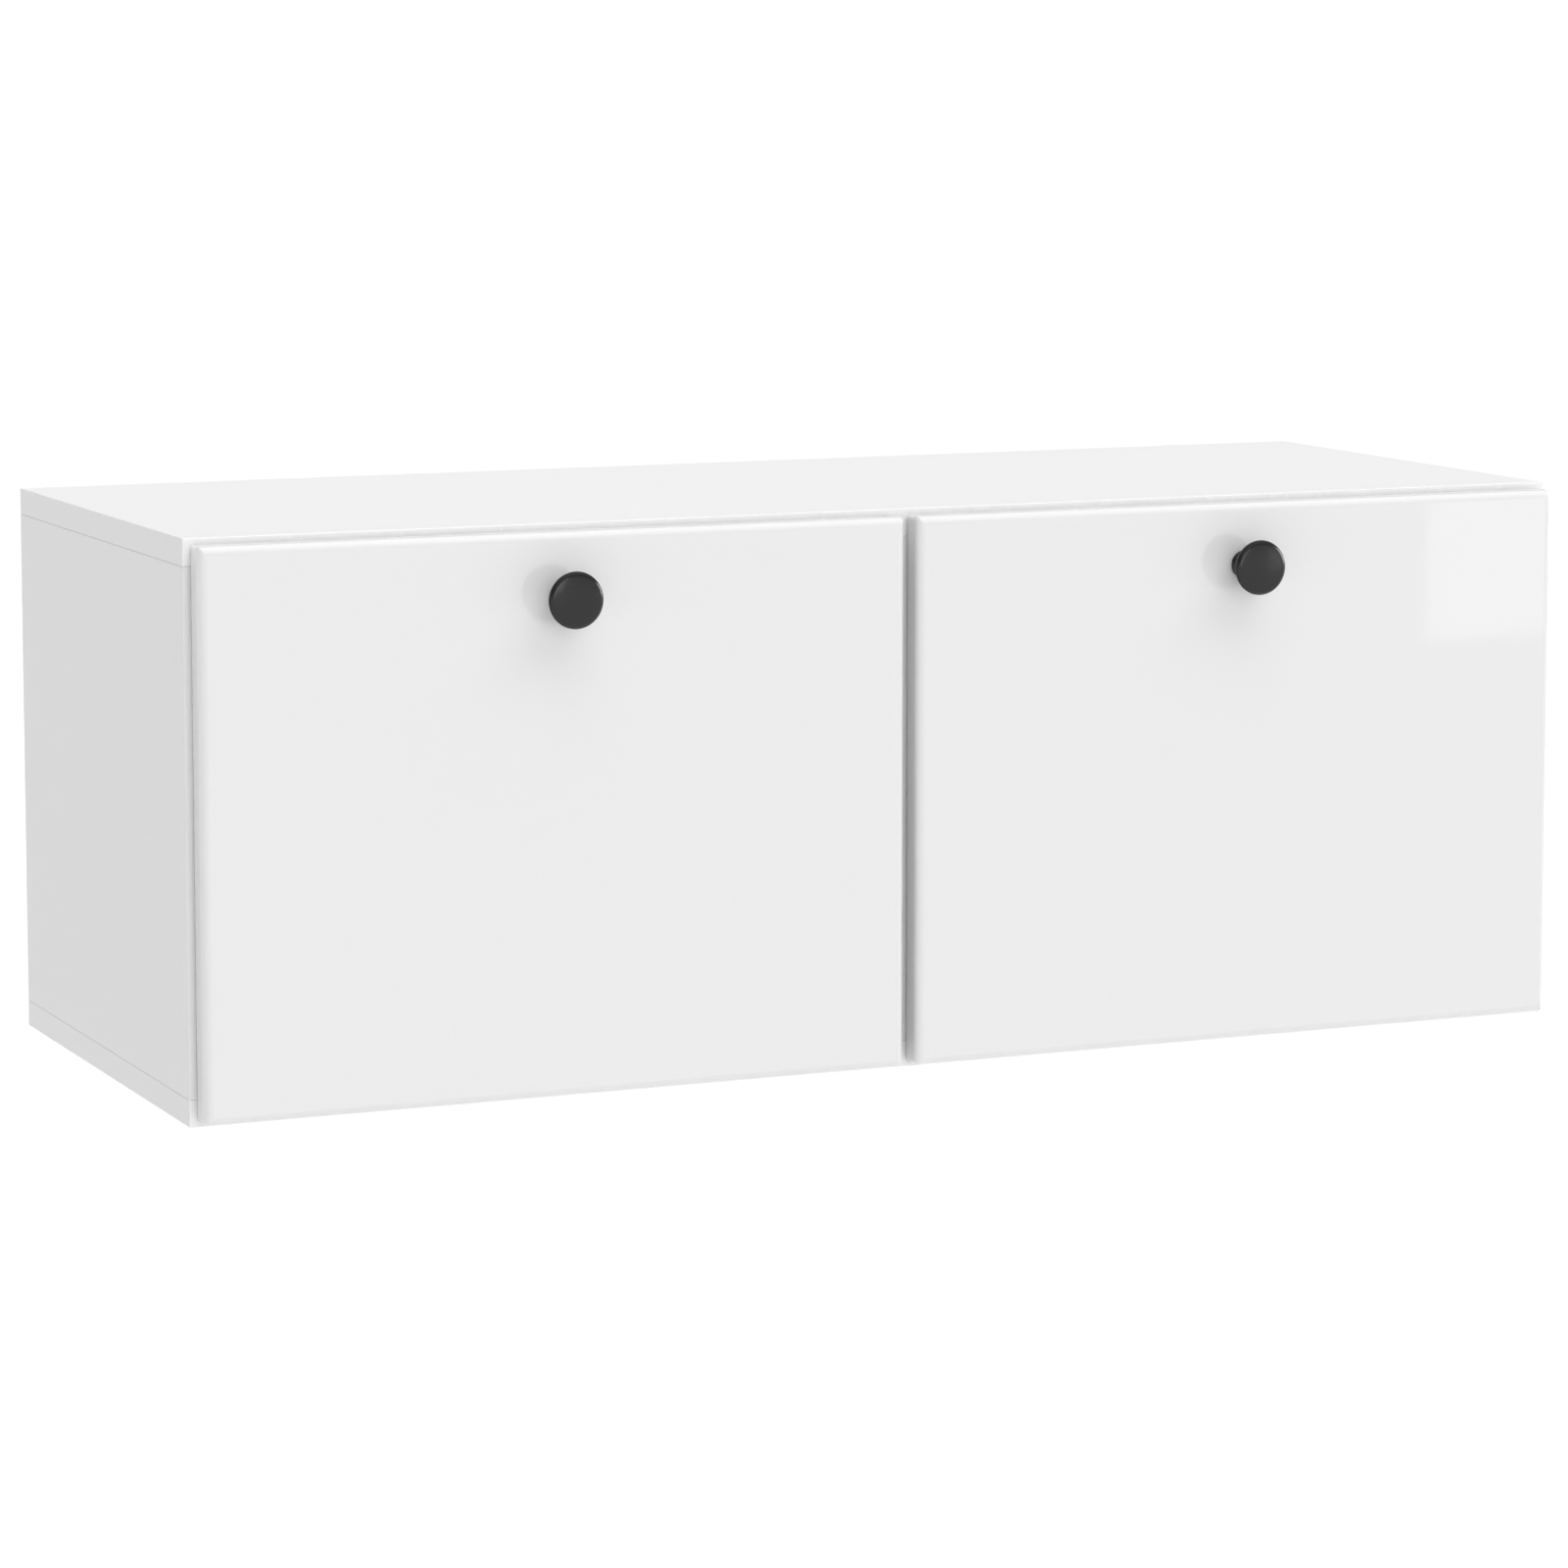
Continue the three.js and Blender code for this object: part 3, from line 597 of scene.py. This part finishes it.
def door_ring(mesh, low, high, inset, y):
    """The door's outline at depth y, drawn in by the inset, with rounded corners."""
    steps = 8
    radius = max(DOOR_CORNER - inset, 0.5 * MM)
    left, right = low.x + inset + radius, high.x - inset - radius
    down, up = low.z + inset + radius, high.z - inset - radius
    ring = []
    for quarter, (x, z) in enumerate(((right, down), (right, up), (left, up), (left, down))):
        for step in range(steps + 1):
            angle = (quarter - 1 + step / steps) * math.pi / 2
            across, along = radius * math.cos(angle), radius * math.sin(angle)
            ring.append(mesh.verts.new((x + across, y, z + along)))
    return ring


def door_mesh(low, high):
    """A leaf whose edges roll over at the front and are eased at the back."""
    mesh = bmesh.new()
    rings = []
    back_steps, front_steps = 5, 14
    for step in range(back_steps + 1):
        angle = step / back_steps * math.pi / 2
        inset = DOOR_BACK_ROUND * (1 - math.sin(angle))
        y = high.y - DOOR_BACK_ROUND * (1 - math.cos(angle))
        rings.append(door_ring(mesh, low, high, inset, y))
    for step in range(front_steps + 1):
        angle = step / front_steps * math.pi / 2
        inset = DOOR_FRONT_ROUND * (1 - math.cos(angle))
        y = low.y + DOOR_FRONT_ROUND * (1 - math.sin(angle))
        rings.append(door_ring(mesh, low, high, inset, y))
    count = len(rings[0])
    for one, two in zip(rings, rings[1:]):
        for i in range(count):
            j = (i + 1) % count
            mesh.faces.new((one[i], one[j], two[j], two[i]))
    mesh.faces.new(rings[0])
    mesh.faces.new(rings[-1])
    bmesh.ops.recalc_face_normals(mesh, faces=mesh.faces)
    return mesh


def bore(x, z, y, radius, depth, segments=64):
    """A cutter that enters the door's inner face at y."""
    mesh = lathe_mesh([(0, -MM), (radius, -MM), (radius, depth), (0, depth)], segments)
    into_door = Matrix.Translation((x, y, z)) @ turned_to((0, -1, 0))
    bmesh.ops.transform(mesh, matrix=into_door, verts=mesh.verts)
    return add_object("bore", mesh, raw_fibreboard())


def make_door(label):
    node = f"{label}_door"
    low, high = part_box(node)
    piece = add_object(f"{label}_door_leaf", door_mesh(low, high), lacquer())
    screw_middle = middle_of(f"{label}_knob_screw")
    cutters = [bore(screw_middle.x, screw_middle.z, high.y, SCREW_BORE, SCREW_BORE_DEPTH, 24)]
    for end in ENDS:
        cup_low, cup_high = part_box(f"{label}_{end}_hinge_cup")
        x = (cup_low.x + cup_high.x) / 2
        z = cup_low.z + CUP_BORE - CUP_CLEARANCE
        cutters.append(bore(x, z, high.y, CUP_BORE, CUP_BORE_DEPTH))
    carve(piece, *cutters)
    even_normals(piece)
    place(piece, f"{label}_door_leaf", "door_lacquer", node)


KNOB_FOOT = 9.5 * MM
KNOB_FOOT_EDGE = 1.1 * MM  # where the foot's straight side ends
KNOB_NECK = 5.6 * MM
KNOB_HOLE = 2.15 * MM
KNOB_HOLE_DEPTH = 12 * MM
KNOB_RIM_AT = 24 * MM      # from the door's face
KNOB_RIM_SHADE_WIDTH = 0.6 * MM  # width of the painted shade at the edge
KNOB_RIM_SHADE_DEPTH = 3 * MM    # how far that painted shade reaches back from the rim
KNOB_CROWN = 3 * MM        # width of the rounding between rim and face


def knob_profile(radius, tall):
    """(radius, height) points from the screw hole over foot, neck and rim to the domed face."""
    under_rim = (radius - 1.2 * MM, KNOB_RIM_AT - 1.7 * MM)
    rim = (radius, KNOB_RIM_AT + 0.4 * MM)
    crown = (radius - KNOB_CROWN, tall - 0.95 * MM)
    profile = [(0, KNOB_HOLE_DEPTH), (KNOB_HOLE, KNOB_HOLE_DEPTH), (KNOB_HOLE, 0)]
    profile += [(KNOB_FOOT - 0.5 * MM, 0), (KNOB_FOOT, 0.5 * MM), (KNOB_FOOT, KNOB_FOOT_EDGE)]
    profile += curve_points([(KNOB_FOOT, KNOB_FOOT_EDGE), (KNOB_NECK, 5 * MM),
                             (KNOB_NECK, 15 * MM), under_rim], 18)
    profile += curve_points([under_rim, (radius, KNOB_RIM_AT - 1.3 * MM),
                             (radius, KNOB_RIM_AT), rim], 6)
    profile += curve_points([rim, (radius, tall - 2.4 * MM),
                             (radius - 1.5 * MM, tall - 1.15 * MM), crown], 14)
    profile += curve_points([crown, (0.6 * radius, tall - 0.3 * MM),
                             (0.3 * radius, tall), (0, tall)], 10)
    return profile


def make_knob(label):
    node = f"{label}_knob"
    low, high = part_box(node)
    radius = (high.x - low.x) / 2
    mesh = lathe_mesh(knob_profile(radius, high.y - low.y), 96)
    # Faces at the rim get the darker colour: painted shade for the dark reflection on the rounding
    for face in mesh.faces:
        middle = face.calc_center_median()
        at_edge = middle.xy.length > radius - KNOB_RIM_SHADE_WIDTH
        if at_edge and middle.z > KNOB_RIM_AT - KNOB_RIM_SHADE_DEPTH:
            face.material_index = 1
    piece = add_object(f"{label}_turned_knob", mesh, black_satin(), knob_rim_painted_shade())
    where = Vector(((low.x + high.x) / 2, high.y, (low.z + high.z) / 2))
    piece.matrix_world = Matrix.Translation(where) @ turned_to((0, -1, 0))
    even_normals(piece)
    place(piece, f"{label}_door_leaf", "black_satin", node)


# ------------------------------------------------------------------ hardware from its CAD shape

WELD_WITHIN = 0.002 * MM
FLAT_WITHIN = math.radians(0.8)


def refined(node, name, material, body, slot, radius, segments=2):
    """The CAD shape with its facets cleaned up and its corners rounded."""
    mesh = bmesh.new()
    mesh.from_mesh(CAD_NODES[node].data)
    bmesh.ops.remove_doubles(mesh, verts=mesh.verts, dist=WELD_WITHIN)
    bmesh.ops.dissolve_limit(mesh, angle_limit=FLAT_WITHIN, verts=mesh.verts, edges=mesh.edges)
    round_edges(mesh, radius, segments, sharper_than=40)
    mesh.normal_update()
    piece = add_object(name, mesh, material)
    even_normals(piece)
    place(piece, body, slot, node)


# Where the fasteners sit, each measured from the middle or an end of the part that it holds
ARM_SCREWS = (12 * MM, 34 * MM)        # from the arm's rear end
PLATE_WING = 2.5 * MM                  # thickness
PLATE_SCREW = 15 * MM
CUP_SCREW, CUP_SCREW_UP = 23 * MM, 17.2 * MM
STAY_FLANGE = 3 * MM                   # thickness
STAY_SCREW = 24 * MM
BRACKET_FOOT = 2.5 * MM                # thickness
BRACKET_SHIFT, BRACKET_SCREW = 2 * MM, 15 * MM
HANGER_SCREW_FRONT, HANGER_SCREW_END = 10 * MM, 9 * MM
WALL_PLATE = 2 * MM                    # thickness
WALL_SCREW, WALL_SCREW_UP = 9 * MM, 13 * MM
CATCH_SCREW = 19 * MM


def make_hinges(label):
    leaf = f"{label}_door_leaf"
    for end in ENDS:
        stem = f"{label}_{end}_hinge"
        refined(f"{stem}_cup", f"{stem}_pressed_cup", nickel(), leaf, "nickel_steel", 0.25 * MM)
        refined(f"{stem}_arm", f"{stem}_pressed_arm", nickel(), "cabinet", "nickel_steel",
                0.45 * MM)
        refined(f"{stem}_plate", f"{stem}_cast_plate", nickel(), "cabinet", "nickel_steel",
                0.35 * MM)

        low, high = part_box(f"{stem}_arm")
        x = (low.x + high.x) / 2
        for offset in ARM_SCREWS:
            screw(f"{stem}_arm", (x, high.y - offset, high.z), (0, 0, 1), "cabinet",
                  radius=2.9 * MM, height=1.2 * MM)
        low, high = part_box(f"{stem}_plate")
        for direction in (-1, 1):
            where = (x + direction * PLATE_SCREW, (low.y + high.y) / 2, low.z + PLATE_WING)
            screw(f"{stem}_plate", where, (0, 0, 1), "cabinet", kind="flat", radius=3.1 * MM)
        low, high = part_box(f"{stem}_cup")
        for direction in (-1, 1):
            where = (x + direction * CUP_SCREW, high.y, low.z + CUP_SCREW_UP)
            screw(f"{stem}_cup", where, (0, 1, 0), leaf, kind="flat", radius=3.0 * MM)


def make_stay(label, side):
    leaf = f"{label}_door_leaf"
    refined(f"{label}_stay_base", f"{label}_stay_cast_base", nickel(), "cabinet",
            "nickel_steel", 0.6 * MM)
    refined(f"{label}_stay_swivel", f"{label}_stay_moulding", grey_plastic(),
            f"{label}_swivel", "grey_plastic", 0.9 * MM, 3)
    refined(f"{label}_stay_bracket", f"{label}_stay_pressed_bracket", nickel(), leaf,
            "nickel_steel", 0.4 * MM)
    refined(f"{label}_stay_rod", f"{label}_stay_drawn_rod", drawn_steel(), f"{label}_rod",
            "zinc_steel", 0.35 * MM)
    low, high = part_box(f"{label}_stay_base")
    panel_low, panel_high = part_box(f"{label}_side_panel")
    flange_x = panel_low.x - STAY_FLANGE if side > 0 else panel_high.x + STAY_FLANGE
    for direction in (-1, 1):
        where = (flange_x, (low.y + high.y) / 2, (low.z + high.z) / 2 + direction * STAY_SCREW)
        screw(f"{label}_stay_base", where, (-side, 0, 0), "cabinet")
    low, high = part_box(f"{label}_stay_bracket")
    for direction in (-1, 1):
        where = ((low.x + high.x) / 2 + side * BRACKET_SHIFT, low.y + BRACKET_FOOT,
                 (low.z + high.z) / 2 + direction * BRACKET_SCREW)
        screw(f"{label}_stay_bracket", where, (0, 1, 0), leaf)


def make_hanger(label, side):
    hook = f"{label}_hook"
    refined(f"{label}_hanger_housing", f"{label}_hanger_moulding", white_plastic(), "cabinet",
            "white_plastic", 0.8 * MM, 3)
    refined(f"{label}_hanger_hook", f"{label}_hanger_forged_hook", zinc(), hook, "zinc_steel",
            0.6 * MM)
    refined(f"{label}_wall_plate", f"{label}_pressed_wall_plate", zinc(), hook, "zinc_steel",
            0.4 * MM)
    refined(f"{label}_hanger_screw", f"{label}_hanger_turned_screw", zinc(),
            f"{label}_height_screw", "zinc_steel", 0.25 * MM)
    low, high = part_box(f"{label}_hanger_housing")
    face_x = low.x if side > 0 else high.x
    for z in (high.z - HANGER_SCREW_END, low.z + HANGER_SCREW_END):
        screw(f"{label}_hanger", (face_x, low.y + HANGER_SCREW_FRONT, z), (-side, 0, 0),
              "cabinet", kind="flat", radius=3.6 * MM)
    low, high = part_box(f"{label}_wall_plate")
    for direction in (-1, 1):
        where = ((low.x + high.x) / 2 + direction * WALL_SCREW, high.y - WALL_PLATE,
                 low.z + WALL_SCREW_UP)
        screw(f"{label}_wall_plate", where, (0, -1, 0), hook, radius=4.2 * MM, height=2.4 * MM)


def make_catch(label):
    leaf = f"{label}_door_leaf"
    refined(f"{label}_catch_housing", f"{label}_catch_moulding", white_plastic(), "cabinet",
            "white_plastic", 0.7 * MM, 3)
    refined(f"{label}_strike_plate", f"{label}_pressed_strike", zinc(), leaf, "zinc_steel",
            0.4 * MM)
    low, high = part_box(f"{label}_catch_housing")
    for direction in (-1, 1):
        where = ((low.x + high.x) / 2 + direction * CATCH_SCREW, (low.y + high.y) / 2, low.z)
        screw(f"{label}_catch", where, (0, 0, -1), "cabinet", kind="flat", radius=2.4 * MM,
              height=1.6 * MM)
    low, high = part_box(f"{label}_strike_plate")
    screw(f"{label}_strike", ((low.x + high.x) / 2, high.y, (low.z + high.z) / 2), (0, 1, 0),
          leaf, kind="flat", radius=2.2 * MM, height=0.9 * MM)


def make_bumpers(label):
    for end in ENDS:
        node = f"{label}_{end}_bumper"
        low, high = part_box(node)
        radius, tall = (high.x - low.x) / 2, high.y - low.y
        profile = [(0, 0), (radius, 0)]
        profile += curve_points([(radius, 0), (0.98 * radius, 0.8 * tall),
                                 (0.6 * radius, tall), (0, tall)], 10)
        piece = add_object(f"{label}_{end}_soft_bumper", lathe_mesh(profile, 40),
                           clear_rubber())
        where = Vector(((low.x + high.x) / 2, low.y, (low.z + high.z) / 2))
        piece.matrix_world = Matrix.Translation(where) @ turned_to((0, 1, 0))
        place(piece, f"{label}_door_leaf", "clear_rubber", node)


def finish_carried_nodes(label):
    """The small CAD nodes that stay as they are, each with its own finish."""
    finishes = {f"{label}_catch_magnet": ferrite(), f"{label}_knob_screw": zinc()}
    finishes.update({f"{label}_{end}_hinge_pin": drawn_steel() for end in ENDS})
    for node, material in finishes.items():
        piece = CAD_NODES[node]
        if not piece.material_slots:
            piece.data.materials.append(material)
        for slot in piece.material_slots:
            slot.material = material


# ------------------------------------------------------------------ assembly

make_camera()
make_studio()
make_carcass()
make_connector_caps()
for side_label, side_sign in SIDES:
    make_door(side_label)
    make_knob(side_label)
    make_hinges(side_label)
    make_stay(side_label, side_sign)
    make_hanger(side_label, side_sign)
    make_catch(side_label)
    make_bumpers(side_label)
    finish_carried_nodes(side_label)
